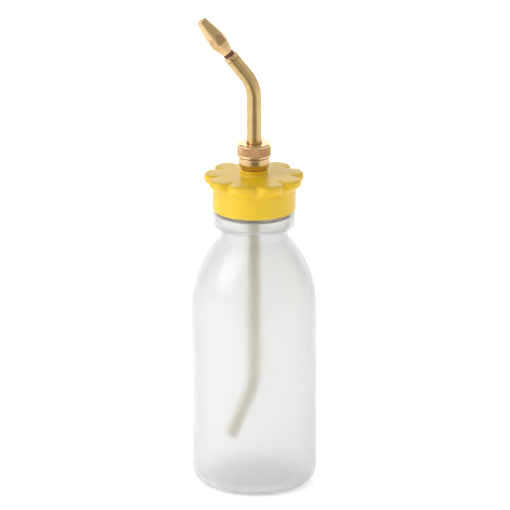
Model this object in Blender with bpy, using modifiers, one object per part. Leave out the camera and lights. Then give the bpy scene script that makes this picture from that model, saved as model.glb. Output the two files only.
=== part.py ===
"""Squeeze oiler: a translucent polyethylene bottle, a lobed screw cap and a swivelling bent brass spout.

Metres, +Z up.  The bottle stands on Z = 0 with its axis on Z, and the spout leans towards -X.
"""

import math

import bmesh
import bpy
from mathutils import Matrix, Vector

MM = 0.001

# ---------------------------------------------------------------- clearances
SEAT_GAP = 0.3 * MM            # between two faces that rest on each other
RUNNING_GAP = 0.3 * MM         # radial, between a shaft and the bore it turns or lies in
THREAD_GAP = 0.4 * MM          # between the flanks and crests of the bottle's and the cap's threads
SOLDER_GAP = 0.25 * MM         # radial, between the dip tube and the spout around it
CUTTER_OVERRUN = 1.0 * MM      # how far a cutter runs past each end of its piece

# ---------------------------------------------------------------- bottle
BODY_RADIUS = 30.0 * MM
BODY_HEIGHT = 88.0 * MM        # base to the start of the shoulder
BOTTLE_WALL = 1.2 * MM
CORNER_RADIUS = 7.2 * MM       # base corner, outside
STANDING_RING_WIDTH = 4.0 * MM
PUSH_UP = 2.6 * MM             # height of the hollow under the base
PUSH_UP_KNEES = ((0.9, 0.3), (0.55, 0.85))  # its slope: share of the ring's inner radius, share of its height
SHOULDER_RADIUS = 52.0 * MM
NECK_RADIUS = 16.2 * MM
NECK_LENGTH = 5.7 * MM         # plain neck between the shoulder and the bead
BEAD_REACH = 3.4 * MM          # bead beyond the neck
BEAD_HEIGHT = 7.0 * MM
BEAD_ROUND = 1.4 * MM
BEAD_ROUND_LEAST = 0.2 * MM    # the round left inside the hollow bead
FINISH_HEIGHT = 14.0 * MM      # threaded part, bead to rim

# ---------------------------------------------------------------- bottle and cap thread
CAP_PITCH = 4.0 * MM
THREAD_HEIGHT = 1.2 * MM
THREAD_ROOT_WIDTH = 2.0 * MM
THREAD_CREST_WIDTH = 0.9 * MM
THREAD_FADE = 0.12             # turns over which each end of a ridge rises from its wall
THREAD_EMBED = 0.5 * MM        # how far a ridge is rooted in its wall
THREAD_FADE_DEPTH = 0.2 * MM   # how deep in the wall a faded end lies
THREAD_BELOW_RIM = 2.6 * MM    # rim down to the middle of the bottle thread's upper end
THREAD_ABOVE_SKIRT = 3.2 * MM  # skirt's lower edge up to the middle of the bottle thread's lower end

# ---------------------------------------------------------------- cap
CAP_WALL = 2.0 * MM
CAP_WALL_GAP = 0.6 * MM        # thread crest of the bottle to the inside of the cap
CAP_SKIRT_GAP = 1.2 * MM       # skirt to the bead below it
CAP_PANEL = 2.5 * MM
FLANGE_REACH = 4.0 * MM        # lobe crest beyond the skirt
FLANGE_EDGE = 3.0 * MM         # upright edge of the flange
FLANGE_TAPER = 3.2 * MM        # height over which the lobes run into the skirt
FLANGE_TAPER_SHARES = (0.0, 0.35, 0.65, 0.88, 1.0)   # heights of the rings in the taper
FLANGE_SWELL = 1.35            # 1 makes the taper a plain cone, more rounds it into the edge
FLANGE_ROUND = 1.5 * MM
CROWN_FLAT = 15.5 * MM         # the top face is flat out to here, and dips from here into the notches
LOBE_COUNT = 9
LOBE_DEPTH = 3.4 * MM
NOTCH_SINK = 0.6 * MM          # how far the top face dips in a notch
LOBE_PHASE = 13.3              # degrees from +X to the first lobe
LOBE_FULLNESS = 3.0            # power of a lobe's curve: more makes the lobes fuller
NOTCH_SOFTNESS = 0.25          # 0 makes the notches sharp
BOSS_WALL = 1.4 * MM
BOSS_HEIGHT = 2.8 * MM
BOSS_FILLET = 1.6 * MM
GASKET_THICKNESS = 1.2 * MM
GASKET_WALL_GAP = 0.5 * MM     # gasket to the inside of the cap
GASKET_INNER_GAP = 0.9 * MM    # gasket to the lock washer inside it

# ---------------------------------------------------------------- spout
SPOUT_RADIUS = 3.5 * MM
SPOUT_WALL = 0.5 * MM
SPOUT_TAIL = 2.0 * MM          # spout below the fitting's stem
SPOUT_RISE = 22.0 * MM         # union nut to the start of the bend
SPOUT_BEND_RADIUS = 19.0 * MM
SPOUT_LEAN = 38.3              # degrees from vertical, towards -X
SPOUT_REACH = 9.55 * MM        # straight length beyond the bend

# ---------------------------------------------------------------- gland stack around the spout
GLAND_SEAL_SECTION = 0.85 * MM      # thickness of the O-ring
TUBE_COLLAR_HEIGHT = 1.9 * MM
GLAND_WASHER_HEIGHT = 0.7 * MM
GLAND_RING_WIDTH = 0.9 * MM         # radial width of each piece in the gland
GLAND_PIECE_GAP = 0.3 * MM          # gland pieces to the counterbore around them

# ---------------------------------------------------------------- brass fitting through the cap
EDGE_BREAK = 0.4 * MM          # chamfer on turned edges
STEM_WALL = 1.2 * MM
GLAND_WALL = 1.0 * MM          # around the gland, under the male thread
MALE_THREAD_LENGTH = 5.2 * MM
COLLAR_STEP = 1.5 * MM         # collar beyond the male thread
COLLAR_FOOT_STEP = 1.4 * MM    # foot of the collar beyond the stem
COLLAR_TAPER = 2.6 * MM        # height of the cone under the collar
COLLAR_HEIGHT = 3.2 * MM       # height of the collar's straight side
STEM_OVERHANG = 0.8 * MM       # stem below the lock nut
LOCK_NUT_WALL = 1.7 * MM       # from the stem's hole to the nut's flats
LOCK_NUT_THICKNESS = 4.0 * MM
LOCK_WASHER_THICKNESS = 1.0 * MM
LOCK_WASHER_STEP = 0.5 * MM    # washer beyond the nut's corners
UNION_NUT_WALL = 1.75 * MM
UNION_NUT_LIP = 1.0 * MM
UNION_NUT_CHAMFER = 0.6 * MM
UNION_NUT_FACE_GAP = 0.55 * MM  # lip of the nut above the fitting's end

# ---------------------------------------------------------------- dip tube
DIP_WALL = 0.5 * MM
DIP_OVERLAP = 9.0 * MM         # length of the dip tube inside the spout
DIP_BEND_HEIGHT = 49.2 * MM    # where the two straight runs would meet, above the base
DIP_BEND_RADIUS = 12.0 * MM
DIP_LEAN = 32.0                # degrees from vertical
DIP_HEADING = 223.0            # degrees from +X, seen from above
DIP_REACH = 28.4 * MM          # from where the runs would meet to the tip

# ---------------------------------------------------------------- nozzle, along its own axis
ADAPTER_FLANGE_STEP = 0.1 * MM  # flange beyond the spout
ADAPTER_FLANGE = 2.2 * MM
ADAPTER_SPIGOT = 6.0 * MM      # length inside the spout
ADAPTER_STUB_RADIUS = 1.75 * MM
ADAPTER_STUB = 6.5 * MM
ADAPTER_BORE = 0.9 * MM
NOZZLE_SEAL_THICKNESS = 1.0 * MM
NOZZLE_SEAL_WIDTH = 0.65 * MM
NOZZLE_LENGTH = 20.6 * MM
NOZZLE_REAR_WALL = 0.55 * MM
NOZZLE_RADIUS = 4.5 * MM
NOZZLE_TIP_RADIUS = 2.45 * MM
NOZZLE_FLAT_CUT = 0.45 * MM    # depth of the hexagon's flats in the turned radius
NOZZLE_REAR_CONE = 6.0 * MM
NOZZLE_STRAIGHT = 2.6 * MM
NOZZLE_CHAMBER = 2.5 * MM      # bore beyond the end of the stub
NOZZLE_BORE_TAPER = 2.0 * MM
ORIFICE_RADIUS = 0.8 * MM
ORIFICE_MOUTH_RADIUS = 1.3 * MM
ORIFICE_MOUTH_DEPTH = 1.0 * MM

# ---------------------------------------------------------------- facets
BOTTLE_SEGMENTS = 40           # round a full turn, as the next four are
THREAD_SEGMENTS = 28
CAP_SEGMENTS = 8 * LOBE_COUNT
BRASS_SEGMENTS = 32
RING_SEGMENTS = 24
SEAL_SIDES = 8                 # round the O-ring's section
SPOUT_RESOLUTION = 6           # a curve's bevel resolution: 4 + 2 x this many sides
DIP_RESOLUTION = 4
BEND_STEPS = 9                 # along a tube's bend
SHOULDER_STEPS = 9
CORNER_STEPS = 6
ROUND_STEPS = 3                # along a small round edge or fillet
CROWN_STEPS = 3                # from the flange's edge in to the flat of the cap

# ---------------------------------------------------------------- radii and heights that follow
SHOULDER_CENTRE = BODY_RADIUS - SHOULDER_RADIUS
SHOULDER_ANGLE = math.acos((NECK_RADIUS - SHOULDER_CENTRE) / SHOULDER_RADIUS)
NECK_START = BODY_HEIGHT + SHOULDER_RADIUS * math.sin(SHOULDER_ANGLE)
BEAD_RADIUS = NECK_RADIUS + BEAD_REACH
BEAD_BOTTOM = NECK_START + NECK_LENGTH
BEAD_TOP = BEAD_BOTTOM + BEAD_HEIGHT
RIM = BEAD_TOP + FINISH_HEIGHT

SPOUT_BORE = SPOUT_RADIUS - SPOUT_WALL
SPOUT_HOLE = SPOUT_RADIUS + RUNNING_GAP
GLAND_PIECE_RADIUS = SPOUT_HOLE + GLAND_RING_WIDTH
GLAND_RADIUS = GLAND_PIECE_RADIUS + GLAND_PIECE_GAP
MALE_THREAD_RADIUS = GLAND_RADIUS + GLAND_WALL
STEM_RADIUS = SPOUT_HOLE + STEM_WALL
STEM_HOLE = STEM_RADIUS + RUNNING_GAP
COLLAR_RADIUS = MALE_THREAD_RADIUS + COLLAR_STEP
COLLAR_FOOT_RADIUS = STEM_RADIUS + COLLAR_FOOT_STEP
UNION_NUT_BORE = MALE_THREAD_RADIUS + RUNNING_GAP
UNION_NUT_RADIUS = UNION_NUT_BORE + UNION_NUT_WALL
LOCK_NUT_FLAT = STEM_HOLE + LOCK_NUT_WALL
LOCK_NUT_CORNER = LOCK_NUT_FLAT / math.cos(math.radians(30))
LOCK_WASHER_RADIUS = LOCK_NUT_CORNER + LOCK_WASHER_STEP

GASKET_BOTTOM = RIM + SEAT_GAP
PANEL_UNDERSIDE = GASKET_BOTTOM + GASKET_THICKNESS + SEAT_GAP
CAP_TOP = PANEL_UNDERSIDE + CAP_PANEL
BOSS_TOP = CAP_TOP + BOSS_HEIGHT
BOSS_RADIUS = STEM_HOLE + BOSS_WALL
CAP_BORE = NECK_RADIUS + THREAD_HEIGHT + CAP_WALL_GAP
SKIRT_RADIUS = CAP_BORE + CAP_WALL
SKIRT_BOTTOM = BEAD_TOP + CAP_SKIRT_GAP

BOTTLE_THREAD_START = SKIRT_BOTTOM + THREAD_ABOVE_SKIRT
CAP_THREAD_TURNS = (RIM - THREAD_BELOW_RIM - BOTTLE_THREAD_START) / CAP_PITCH
CAP_THREAD_START = BOTTLE_THREAD_START - (THREAD_ROOT_WIDTH + THREAD_CREST_WIDTH) / 2 - THREAD_GAP

COLLAR_BOTTOM = BOSS_TOP + SEAT_GAP
COLLAR_TOP = COLLAR_BOTTOM + COLLAR_TAPER + COLLAR_HEIGHT
FITTING_TOP = COLLAR_TOP + MALE_THREAD_LENGTH
LOCK_WASHER_BOTTOM = PANEL_UNDERSIDE - SEAT_GAP - LOCK_WASHER_THICKNESS
LOCK_NUT_BOTTOM = LOCK_WASHER_BOTTOM - SEAT_GAP - LOCK_NUT_THICKNESS
STEM_BOTTOM = LOCK_NUT_BOTTOM - STEM_OVERHANG

NUT_BOTTOM = COLLAR_TOP + SEAT_GAP
NUT_LIP_BOTTOM = FITTING_TOP + UNION_NUT_FACE_GAP
NUT_TOP = NUT_LIP_BOTTOM + UNION_NUT_LIP
GLAND_WASHER_BOTTOM = NUT_LIP_BOTTOM - SEAT_GAP - GLAND_WASHER_HEIGHT
TUBE_COLLAR_BOTTOM = GLAND_WASHER_BOTTOM - SEAT_GAP - TUBE_COLLAR_HEIGHT
SEAL_BOTTOM = TUBE_COLLAR_BOTTOM - SEAT_GAP - GLAND_SEAL_SECTION
GLAND_FLOOR = SEAL_BOTTOM - SEAT_GAP

SPOUT_BOTTOM = STEM_BOTTOM - SPOUT_TAIL
SPOUT_BEND_START = NUT_TOP + SPOUT_RISE
DIP_RADIUS = SPOUT_BORE - SOLDER_GAP

STUB_BOTTOM = SEAT_GAP + ADAPTER_FLANGE              # these four from the spout's end, along its axis
STUB_TOP = STUB_BOTTOM + ADAPTER_STUB
NOZZLE_SEAL_BOTTOM = STUB_BOTTOM + SEAT_GAP
NOZZLE_REAR = NOZZLE_SEAL_BOTTOM + NOZZLE_SEAL_THICKNESS + SEAT_GAP
STUB_HOLE = ADAPTER_STUB_RADIUS + RUNNING_GAP


def material(name, colour, roughness, metallic=0.0, transmission=0.0):
    """A Principled material with one colour."""
    made = bpy.data.materials.new(name)
    made.use_nodes = True
    shader = made.node_tree.nodes["Principled BSDF"]
    shader.inputs["Base Color"].default_value = (*colour, 1.0)
    shader.inputs["Roughness"].default_value = roughness
    shader.inputs["Metallic"].default_value = metallic
    shader.inputs["Transmission Weight"].default_value = transmission
    made.diffuse_color = (*colour, 1.0)
    return made


def make_collection(name):
    made = bpy.data.collections.new(name)
    bpy.context.scene.collection.children.link(made)
    return made


def add_object(name, data, collection, finish=None):
    """Link an object that holds this mesh or curve, with its material."""
    made = bpy.data.objects.new(name, data)
    collection.objects.link(made)
    if finish:
        data.materials.append(finish)
    return made


def arc(centre, radius, start, end, steps):
    """Points on a circle in the radius-height plane, from start to end degrees, both included."""
    angles = [math.radians(start + (end - start) * i / steps) for i in range(steps + 1)]
    return [(centre[0] + radius * math.cos(a), centre[1] + radius * math.sin(a)) for a in angles]


def settle(source, smooth_angle=40.0):
    """Give the object its evaluated mesh as its own data, shaded smooth between its real edges."""
    graph = bpy.context.evaluated_depsgraph_get()
    mesh = bpy.data.meshes.new_from_object(source.evaluated_get(graph))
    work = bmesh.new()
    work.from_mesh(mesh)
    bmesh.ops.remove_doubles(work, verts=work.verts, dist=0.001 * MM)
    work.to_mesh(mesh)
    work.free()
    mesh.shade_smooth()
    mesh.set_sharp_from_angle(angle=math.radians(smooth_angle))
    if source.type == "CURVE":
        made = bpy.data.objects.new(source.name + "_mesh", mesh)
        source.users_collection[0].objects.link(made)
        made.matrix_world = source.matrix_world
        name = source.name
        bpy.data.objects.remove(source)
        made.name = name
        return made
    source.modifiers.clear()
    source.data = mesh
    return source


def turned(name, profile, segments, collection, finish=None, closed=True):
    """Turn a profile of (radius, height) points round Z.

    The points run down the outer side and back up the bore.  An open profile starts and ends on the axis.
    """
    mesh = bpy.data.meshes.new(name)
    edges = [(i, i + 1) for i in range(len(profile) - 1)]
    if closed:
        edges.append((len(profile) - 1, 0))
    mesh.from_pydata([(r, 0.0, z) for r, z in profile], edges, [])
    made = add_object(name, mesh, collection, finish)
    screw = made.modifiers.new("turn", "SCREW")
    screw.axis = "Z"
    screw.angle = math.tau
    screw.steps = segments
    screw.render_steps = segments
    screw.use_merge_vertices = True
    screw.merge_threshold = 0.00001
    return settle(made)


def washer(name, inner, outer, bottom, thickness, segments, collection, finish):
    """A flat ring."""
    top = bottom + thickness
    return turned(name, [(outer, top), (outer, bottom), (inner, bottom), (inner, top)],
                  segments, collection, finish)


def boolean(target, cutter, operation):
    """Apply one Boolean to the target and keep the result as its mesh."""
    cutter.hide_render = True
    cutter.display_type = "WIRE"
    modifier = target.modifiers.new(operation.lower(), "BOOLEAN")
    modifier.operation = operation
    modifier.solver = "EXACT"
    modifier.object = cutter
    return settle(target)


def hexagon(target, flat, bottom, height, cutters):
    """Trim a turned piece to a hexagon bar; the turned surface chamfers the hexagon's corners.

    Flat is the distance from the axis to a flat.  The bar runs past both ends of the piece.
    """
    mesh = bpy.data.meshes.new(target.name + "_hexagon")
    work = bmesh.new()
    corner = flat / math.cos(math.radians(30))
    bmesh.ops.create_cone(work, cap_ends=True, segments=6, radius1=corner, radius2=corner,
                          depth=height + 2 * CUTTER_OVERRUN,
                          matrix=Matrix.Translation((0.0, 0.0, bottom + height / 2)))
    work.to_mesh(mesh)
    work.free()
    bar = add_object(mesh.name, mesh, cutters)
    return boolean(target, bar, "INTERSECT")


def thread_ridge(name, wall, crest, start, collection):
    """A right-hand helical ridge on the wall radius, whose two ends fade into that wall.

    It stands outwards when the crest is wider than the wall, and inwards in a bore.
    """
    outwards = 1.0 if crest > wall else -1.0
    root = wall - outwards * THREAD_EMBED
    faded = wall - outwards * THREAD_FADE_DEPTH
    count = round(CAP_THREAD_TURNS * THREAD_SEGMENTS)
    work = bmesh.new()
    sections = []
    for i in range(count + 1):
        turn = CAP_THREAD_TURNS * i / count
        rise = min(1.0, turn / THREAD_FADE, (CAP_THREAD_TURNS - turn) / THREAD_FADE)
        reach = faded + (crest - faded) * rise
        middle = start + CAP_PITCH * turn
        corners = [(root, -THREAD_ROOT_WIDTH), (reach, -THREAD_CREST_WIDTH),
                   (reach, THREAD_CREST_WIDTH), (root, THREAD_ROOT_WIDTH)]
        angle = math.tau * turn
        sections.append([work.verts.new((r * math.cos(angle), r * math.sin(angle), middle + width / 2))
                         for r, width in corners])
    for here, there in zip(sections, sections[1:]):
        for k in range(4):
            after = (k + 1) % 4
            work.faces.new((here[k], here[after], there[after], there[k]))
    work.faces.new(sections[0])
    work.faces.new(reversed(sections[-1]))
    bmesh.ops.recalc_face_normals(work, faces=work.faces)
    mesh = bpy.data.meshes.new(name)
    work.to_mesh(mesh)
    work.free()
    return add_object(name, mesh, collection)


def bent_tube(name, points, radius, wall, resolution, collection, finish):
    """A hollow tube along a chain of points."""
    curve = bpy.data.curves.new(name, "CURVE")
    curve.dimensions = "3D"
    curve.bevel_depth = radius
    curve.bevel_resolution = resolution
    curve.use_fill_caps = False
    spline = curve.splines.new("POLY")
    spline.points.add(len(points) - 1)
    for point, place in zip(spline.points, points):
        point.co = (*place, 1.0)
    made = add_object(name, curve, collection, finish)
    shell = made.modifiers.new("wall", "SOLIDIFY")
    shell.thickness = wall
    shell.offset = -1.0
    shell.use_even_offset = True
    return settle(made)


def bend(start, radius, lean, heading, steps):
    """Points of a bend that leaves the vertical at start and leans over towards a heading, in radians."""
    outwards = Vector((math.cos(heading), math.sin(heading), 0.0))
    points = []
    for i in range(steps + 1):
        angle = lean * i / steps
        points.append(start + outwards * radius * (1 - math.cos(angle))
                      + Vector((0.0, 0.0, radius * math.sin(angle))))
    return points


# ---------------------------------------------------------------- bottle
def bottle_side(inset):
    """The bottle's outer surface moved inwards by inset, from the axis under the base up to the rim."""
    corner = (BODY_RADIUS - CORNER_RADIUS, CORNER_RADIUS)
    ring_inner = corner[0] - STANDING_RING_WIDTH
    shoulder = SHOULDER_RADIUS - inset
    lean = math.degrees(math.acos((NECK_RADIUS - inset - SHOULDER_CENTRE) / shoulder))
    round_radius = max(BEAD_ROUND - inset, BEAD_ROUND_LEAST)
    bead = BEAD_RADIUS - inset - round_radius
    low = BEAD_BOTTOM + inset + round_radius
    high = BEAD_TOP - inset - round_radius
    neck = NECK_RADIUS - inset
    points = [(0.0, PUSH_UP + inset)]
    points += [(ring_inner * across, PUSH_UP * up + inset) for across, up in reversed(PUSH_UP_KNEES)]
    points.append((ring_inner, inset))
    points += arc(corner, CORNER_RADIUS - inset, -90, 0, CORNER_STEPS)
    points += arc((SHOULDER_CENTRE, BODY_HEIGHT), shoulder, 0, lean, SHOULDER_STEPS)
    points.append((neck, BEAD_BOTTOM + inset))
    points += arc((bead, low), round_radius, -90, 0, ROUND_STEPS)
    points += arc((bead, high), round_radius, 0, 90, ROUND_STEPS)
    points.append((neck, BEAD_TOP - inset))
    points.append((neck, RIM))
    return points


def build_bottle(parts, cutters, finish):
    """Thin blown bottle: standing ring, hollow base, domed shoulder, hollow bead and threaded finish."""
    inside = bottle_side(BOTTLE_WALL)
    outside = bottle_side(0.0)
    bottle = turned("bottle", inside + outside[::-1], BOTTLE_SEGMENTS, parts, finish, closed=False)
    ridge = thread_ridge("bottle_thread", NECK_RADIUS, NECK_RADIUS + THREAD_HEIGHT,
                         BOTTLE_THREAD_START, cutters)
    return boolean(bottle, ridge, "UNION")


# ---------------------------------------------------------------- cap
def lobe_notch(angle):
    """0 on the crest of a lobe and 1 in the middle of a notch."""
    turns = LOBE_COUNT * (angle - math.radians(LOBE_PHASE)) / math.tau
    beside = 2 * abs((turns + 0.5) % 1.0 - 0.5)
    standing = math.hypot(1 - beside ** LOBE_FULLNESS, NOTCH_SOFTNESS) - NOTCH_SOFTNESS
    return 1 - standing / (math.hypot(1, NOTCH_SOFTNESS) - NOTCH_SOFTNESS)


def flange_rings():
    """Rings (crest radius, height, notch depth, notch sink) of the lobed flange, from the skirt up."""
    crest = SKIRT_RADIUS + FLANGE_REACH
    edge_bottom = CAP_TOP - FLANGE_EDGE
    rise = FLANGE_EDGE + FLANGE_TAPER
    rings = []
    for share in FLANGE_TAPER_SHARES:
        height = edge_bottom - FLANGE_TAPER * (1 - share)
        swell = 1 - (1 - share) ** FLANGE_SWELL
        sink = NOTCH_SINK * FLANGE_TAPER * share / rise
        rings.append((SKIRT_RADIUS + FLANGE_REACH * swell, height, LOBE_DEPTH * swell, sink))
    corner = (crest - FLANGE_ROUND, CAP_TOP - FLANGE_ROUND)
    for radius, height in arc(corner, FLANGE_ROUND, 0, 90, ROUND_STEPS):
        rings.append((radius, height, LOBE_DEPTH, NOTCH_SINK * (1 - (CAP_TOP - height) / rise)))
    for step in range(1, CROWN_STEPS + 1):
        share = 1 - step / CROWN_STEPS
        radius = CROWN_FLAT + (corner[0] - CROWN_FLAT) * share
        rings.append((radius, CAP_TOP, LOBE_DEPTH * share, NOTCH_SINK * share))
    return rings


def build_cap(parts, cutters, finish):
    """Lobed cap: rings lofted up the outside, over the flange and the boss, and back down the inside."""
    fillet = (BOSS_RADIUS + BOSS_FILLET, CAP_TOP + BOSS_FILLET)
    plain = [(SKIRT_RADIUS - EDGE_BREAK, SKIRT_BOTTOM), (SKIRT_RADIUS, SKIRT_BOTTOM + EDGE_BREAK)]
    inner = arc(fillet, BOSS_FILLET, 270, 180, ROUND_STEPS)
    inner += [(BOSS_RADIUS, BOSS_TOP - EDGE_BREAK), (BOSS_RADIUS - EDGE_BREAK, BOSS_TOP),
              (STEM_HOLE, BOSS_TOP), (STEM_HOLE, PANEL_UNDERSIDE), (CAP_BORE, PANEL_UNDERSIDE),
              (CAP_BORE, SKIRT_BOTTOM + EDGE_BREAK), (CAP_BORE + EDGE_BREAK, SKIRT_BOTTOM)]
    rings = [(r, z, 0.0, 0.0) for r, z in plain] + flange_rings() + [(r, z, 0.0, 0.0) for r, z in inner]
    work = bmesh.new()
    loops = []
    for radius, height, depth, sink in rings:
        loop = []
        for k in range(CAP_SEGMENTS):
            angle = math.tau * k / CAP_SEGMENTS + math.radians(LOBE_PHASE)
            notch = lobe_notch(angle)
            reach = radius - depth * notch
            place = (reach * math.cos(angle), reach * math.sin(angle), height - sink * notch)
            loop.append(work.verts.new(place))
        loops.append(loop)
    for here, there in zip(loops, loops[1:] + loops[:1]):
        for k in range(CAP_SEGMENTS):
            after = (k + 1) % CAP_SEGMENTS
            work.faces.new((here[k], here[after], there[after], there[k]))
    bmesh.ops.recalc_face_normals(work, faces=work.faces)
    mesh = bpy.data.meshes.new("screw_cap")
    work.to_mesh(mesh)
    work.free()
    cap = add_object("screw_cap", mesh, parts, finish)
    ridge = thread_ridge("cap_thread", CAP_BORE, NECK_RADIUS + THREAD_GAP, CAP_THREAD_START, cutters)
    return boolean(cap, ridge, "UNION")


def build_cap_gasket(parts, finish):
    return washer("cap_gasket", LOCK_WASHER_RADIUS + GASKET_INNER_GAP, CAP_BORE - GASKET_WALL_GAP,
                  GASKET_BOTTOM, GASKET_THICKNESS, BOTTLE_SEGMENTS, parts, finish)


# ---------------------------------------------------------------- fitting through the cap
def build_fitting(parts, finish):
    """Turned brass body: a stem through the cap, a collar on the boss and a threaded top with the gland."""
    taper_top = COLLAR_BOTTOM + COLLAR_TAPER
    outside = [(MALE_THREAD_RADIUS - EDGE_BREAK, FITTING_TOP),
               (MALE_THREAD_RADIUS, FITTING_TOP - EDGE_BREAK),
               (MALE_THREAD_RADIUS, COLLAR_TOP),
               (COLLAR_RADIUS - EDGE_BREAK, COLLAR_TOP),
               (COLLAR_RADIUS, COLLAR_TOP - EDGE_BREAK),
               (COLLAR_RADIUS, taper_top),
               (COLLAR_FOOT_RADIUS, COLLAR_BOTTOM),
               (STEM_RADIUS, COLLAR_BOTTOM),
               (STEM_RADIUS, STEM_BOTTOM + EDGE_BREAK),
               (STEM_RADIUS - EDGE_BREAK, STEM_BOTTOM)]
    bore = [(SPOUT_HOLE, STEM_BOTTOM), (SPOUT_HOLE, GLAND_FLOOR), (GLAND_RADIUS, GLAND_FLOOR),
            (GLAND_RADIUS, FITTING_TOP)]
    return turned("spout_fitting", outside + bore, BRASS_SEGMENTS, parts, finish)


def build_lock_washer(parts, finish):
    return washer("fitting_washer", STEM_HOLE, LOCK_WASHER_RADIUS, LOCK_WASHER_BOTTOM,
                  LOCK_WASHER_THICKNESS, RING_SEGMENTS, parts, finish)


def build_lock_nut(parts, cutters, finish):
    """Thin hexagon nut that clamps the fitting under the cap."""
    top = LOCK_NUT_BOTTOM + LOCK_NUT_THICKNESS
    profile = [(LOCK_NUT_FLAT, top), (LOCK_NUT_CORNER, top - EDGE_BREAK),
               (LOCK_NUT_CORNER, LOCK_NUT_BOTTOM + EDGE_BREAK), (LOCK_NUT_FLAT, LOCK_NUT_BOTTOM),
               (STEM_HOLE, LOCK_NUT_BOTTOM), (STEM_HOLE, top)]
    nut = turned("lock_nut", profile, RING_SEGMENTS, parts, finish)
    return hexagon(nut, LOCK_NUT_FLAT, LOCK_NUT_BOTTOM, LOCK_NUT_THICKNESS, cutters)


# ---------------------------------------------------------------- gland and union nut
def build_gland_seal(parts, finish):
    """O-ring between the floor of the gland and the collar on the spout."""
    section = GLAND_SEAL_SECTION / 2
    middle = (SPOUT_HOLE + GLAND_PIECE_RADIUS) / 2
    step = 360 / SEAL_SIDES
    profile = arc((middle, SEAL_BOTTOM + section), section, 90, step - 270, SEAL_SIDES - 1)
    return turned("gland_seal", profile, RING_SEGMENTS, parts, finish)


def build_union_nut(parts, finish):
    """Round nut: a bore over the fitting's thread and a lip that closes round the spout."""
    outside = [(UNION_NUT_RADIUS - UNION_NUT_CHAMFER, NUT_TOP),
               (UNION_NUT_RADIUS, NUT_TOP - UNION_NUT_CHAMFER),
               (UNION_NUT_RADIUS, NUT_BOTTOM + EDGE_BREAK),
               (UNION_NUT_RADIUS - EDGE_BREAK, NUT_BOTTOM)]
    inside = [(UNION_NUT_BORE, NUT_BOTTOM), (UNION_NUT_BORE, NUT_LIP_BOTTOM),
              (SPOUT_HOLE, NUT_LIP_BOTTOM), (SPOUT_HOLE, NUT_TOP)]
    return turned("union_nut", outside + inside, BRASS_SEGMENTS, parts, finish)


# ---------------------------------------------------------------- tubes
def spout_points():
    lean = math.radians(SPOUT_LEAN)
    start = Vector((0.0, 0.0, SPOUT_BEND_START))
    points = [Vector((0.0, 0.0, SPOUT_BOTTOM))]
    points += bend(start, SPOUT_BEND_RADIUS, lean, math.pi, BEND_STEPS)
    points.append(points[-1] + spout_direction() * SPOUT_REACH)
    return points


def spout_direction():
    """The way the spout's outer run, and the nozzle on it, point."""
    lean = math.radians(SPOUT_LEAN)
    return Vector((-math.sin(lean), 0.0, math.cos(lean)))


def dip_tube_points():
    """From inside the spout straight down, then over to the tip near the base."""
    lean = math.radians(DIP_LEAN)
    heading = math.radians(DIP_HEADING)
    tangent = DIP_BEND_RADIUS * math.tan(lean / 2)
    upside_down = bend(Vector((0.0, 0.0, 0.0)), DIP_BEND_RADIUS, lean, heading, BEND_STEPS)
    start = DIP_BEND_HEIGHT + tangent
    points = [Vector((0.0, 0.0, SPOUT_BOTTOM + DIP_OVERLAP))]
    points += [Vector((p.x, p.y, start - p.z)) for p in upside_down]
    run = Vector((math.sin(lean) * math.cos(heading), math.sin(lean) * math.sin(heading), -math.cos(lean)))
    points.append(points[-1] + run * (DIP_REACH - tangent))
    return points


# ---------------------------------------------------------------- nozzle, on its own axis
def build_adapter(parts, finish):
    """Turned plug in the spout's end: a flange on the tube and a threaded stub for the nozzle."""
    spigot = SPOUT_BORE - RUNNING_GAP
    flange = SPOUT_RADIUS + ADAPTER_FLANGE_STEP
    outside = [(ADAPTER_STUB_RADIUS, STUB_TOP), (ADAPTER_STUB_RADIUS, STUB_BOTTOM),
               (flange - EDGE_BREAK, STUB_BOTTOM), (flange, STUB_BOTTOM - EDGE_BREAK),
               (flange, SEAT_GAP), (spigot, SEAT_GAP), (spigot, -ADAPTER_SPIGOT)]
    bore = [(ADAPTER_BORE, -ADAPTER_SPIGOT), (ADAPTER_BORE, STUB_TOP)]
    return turned("nozzle_adapter", outside + bore, RING_SEGMENTS, parts, finish)


def build_nozzle_seal(parts, finish):
    return washer("nozzle_seal", STUB_HOLE, STUB_HOLE + NOZZLE_SEAL_WIDTH, NOZZLE_SEAL_BOTTOM,
                  NOZZLE_SEAL_THICKNESS, RING_SEGMENTS, parts, finish)


def build_nozzle(parts, cutters, finish):
    """Hexagon bar turned to two cones, bored for the stub and drilled through its tip."""
    tip = NOZZLE_REAR + NOZZLE_LENGTH
    wide_from = NOZZLE_REAR + NOZZLE_REAR_CONE
    wide_to = wide_from + NOZZLE_STRAIGHT
    bore_end = STUB_TOP + NOZZLE_CHAMBER
    outside = [(NOZZLE_TIP_RADIUS - EDGE_BREAK, tip), (NOZZLE_TIP_RADIUS, tip - EDGE_BREAK),
               (NOZZLE_RADIUS, wide_to), (NOZZLE_RADIUS, wide_from),
               (STUB_HOLE + NOZZLE_REAR_WALL, NOZZLE_REAR)]
    inside = [(STUB_HOLE, NOZZLE_REAR), (STUB_HOLE, bore_end),
              (ORIFICE_RADIUS, bore_end + NOZZLE_BORE_TAPER),
              (ORIFICE_RADIUS, tip - ORIFICE_MOUTH_DEPTH), (ORIFICE_MOUTH_RADIUS, tip)]
    nozzle = turned("nozzle", outside + inside, BRASS_SEGMENTS, parts, finish)
    return hexagon(nozzle, NOZZLE_RADIUS - NOZZLE_FLAT_CUT, NOZZLE_REAR, NOZZLE_LENGTH, cutters)


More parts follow.
